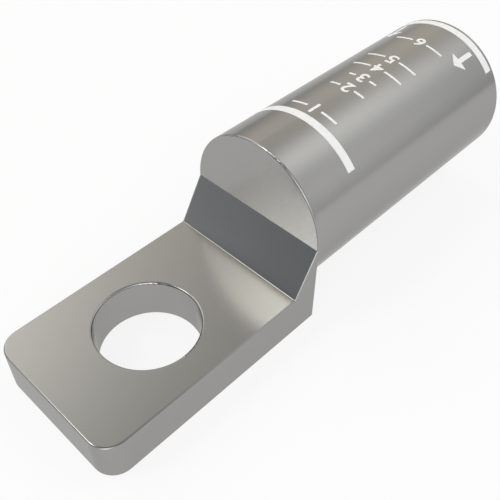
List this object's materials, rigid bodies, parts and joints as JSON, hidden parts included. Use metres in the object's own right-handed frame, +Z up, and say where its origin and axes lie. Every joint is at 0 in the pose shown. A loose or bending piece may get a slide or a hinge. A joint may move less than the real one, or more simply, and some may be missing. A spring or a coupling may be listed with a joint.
{
  "type": "compression lug",
  "caption": "Compression lug: a round barrel, bored blind for a stranded cable, steps down a steep ramp to a flat tongue with a bolt hole.",
  "frame": {"origin": "centre of the bolt hole on the tongue's flat underside", "axes": "+X along the barrel towards its open mouth, +Z up off the mounting face, +Y completes the right hand"},
  "size_m": [0.0781, 0.0222, 0.024],
  "materials": {
    "lug": "satin, fine grained"
  },
  "bodies": {
    "root": {"lug": "lug"}
  },
  "joints": []
}
